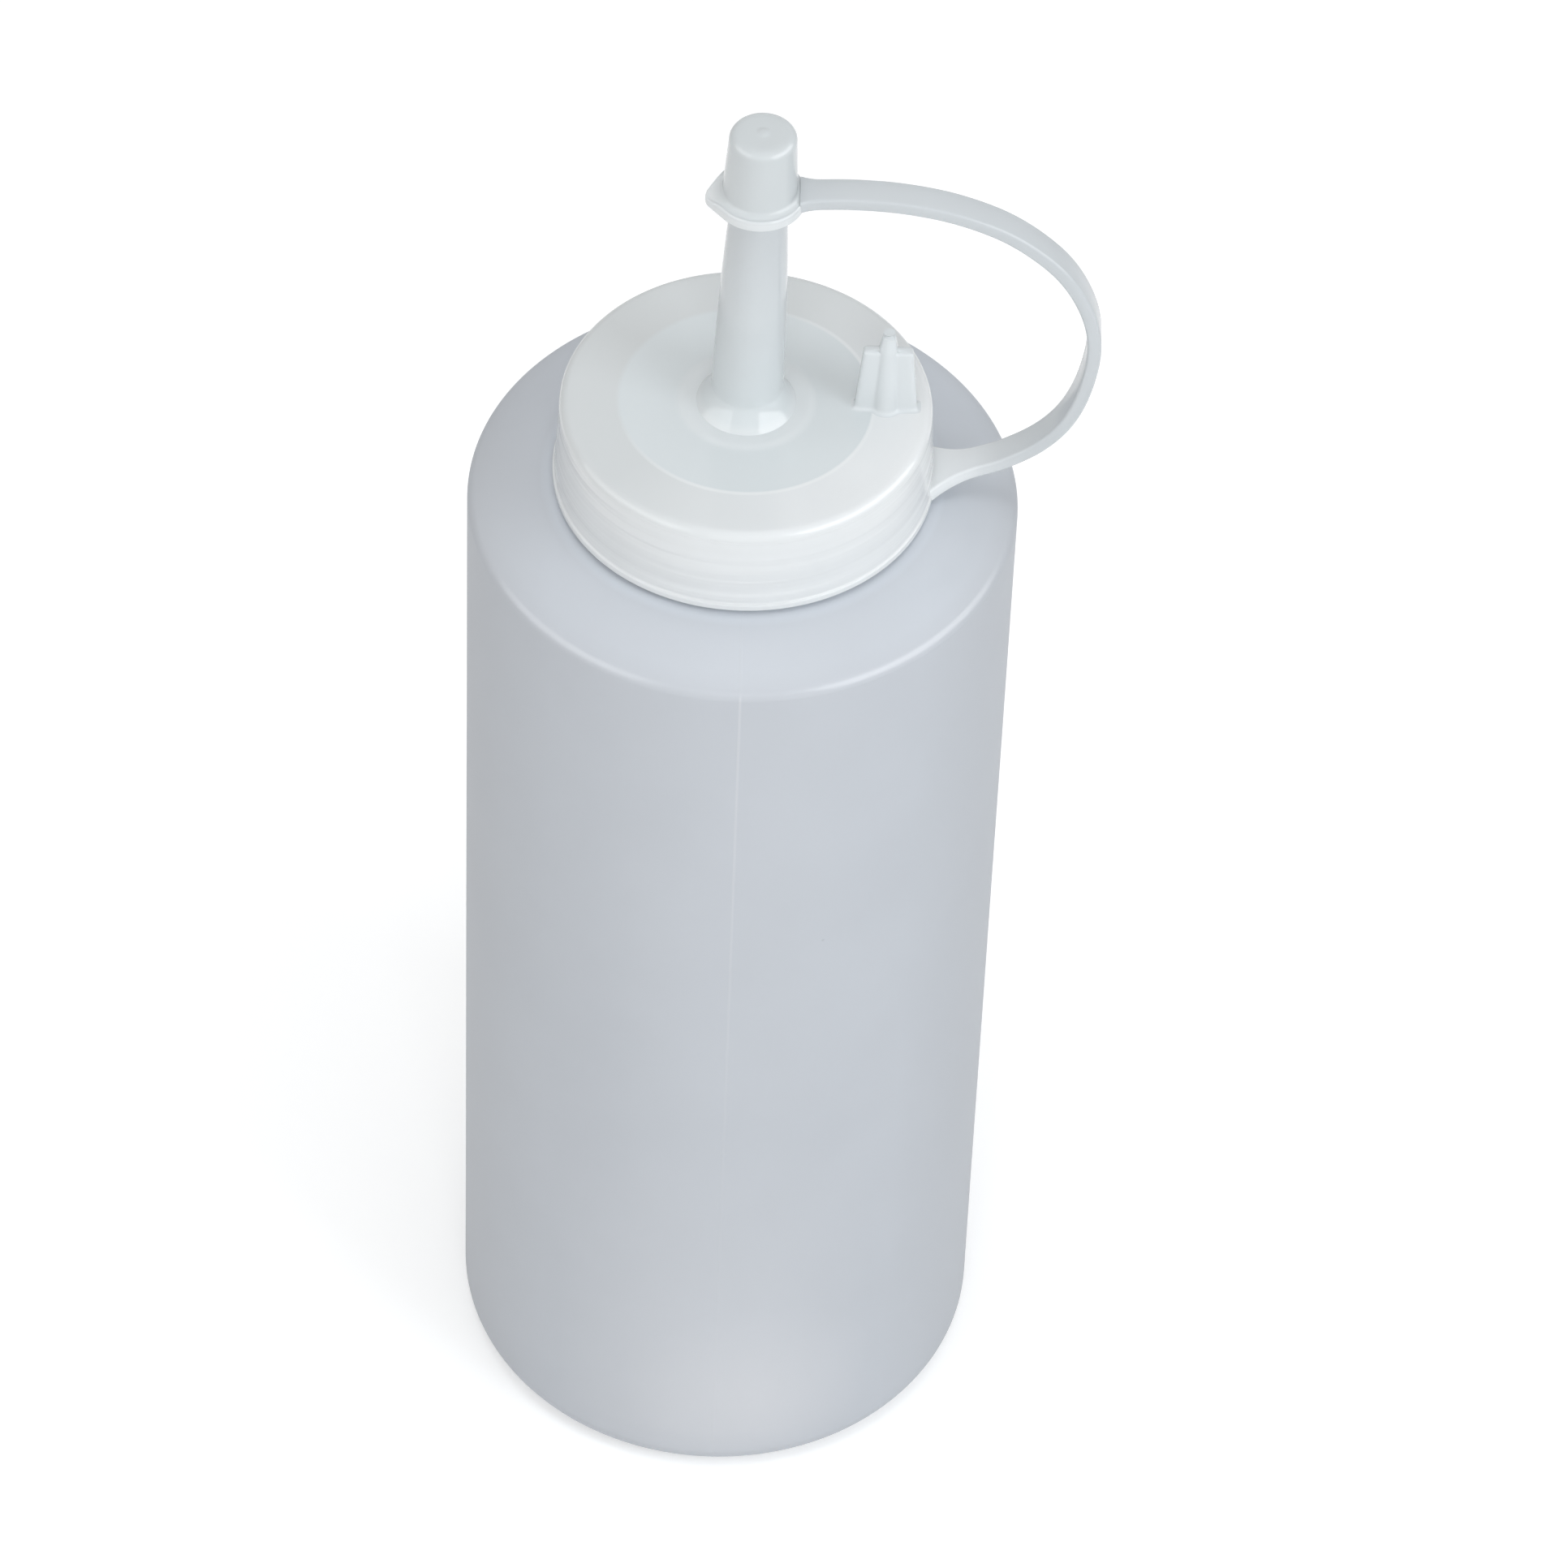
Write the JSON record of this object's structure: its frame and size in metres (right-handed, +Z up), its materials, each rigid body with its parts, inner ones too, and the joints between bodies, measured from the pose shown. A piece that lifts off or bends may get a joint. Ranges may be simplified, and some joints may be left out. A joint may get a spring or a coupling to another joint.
{
  "type": "dispensing bottle",
  "caption": "Milky plastic squeeze bottle with a screw cap, a long cone nozzle and a tip cap tethered by a looped strap.",
  "frame": {"origin": "centre of the flat base, on the bottle's axis, where it stands", "axes": "+Z up along the bottle's axis; +X towards the strap's loop, as the picture shows it on the right; -Y towards the viewer"},
  "size_m": [0.0676, 0.06, 0.1903],
  "materials": {
    "bottle_plastic": "milky translucent polyethylene, satin",
    "cap_plastic": "milky translucent polyethylene, polished mould",
    "seal_foam": "closed-cell foam, matt"
  },
  "bodies": {
    "bottle": {"bottle": "bottle_plastic"},
    "seal": {"seal_ring": "seal_foam"},
    "cap": {"screw_cap": "cap_plastic", "strap": "cap_plastic"},
    "tip": {"tip_cap": "cap_plastic"}
  },
  "joints": [
    {"name": "cap_turn", "type": "hinge", "parent": "seal", "child": "cap", "pos_m": [0, 0, 0.13914], "axis": [0, 0, 1], "range_deg": [0, 450]},
    {"name": "cap_lift", "type": "slide", "parent": "bottle", "child": "seal", "axis": [0, 0, 1], "range_m": [0, 0.0053]},
    {"name": "tip_pull", "type": "slide", "parent": "cap", "child": "tip", "axis": [0.02, 0, 0.9998], "range_m": [0, 0.015], "deforming": ["strap"]}
  ],
  "couplings": [
    {"joint": "cap_lift", "follows": "cap_turn", "m_per_rad": 0.00067322}
  ]
}
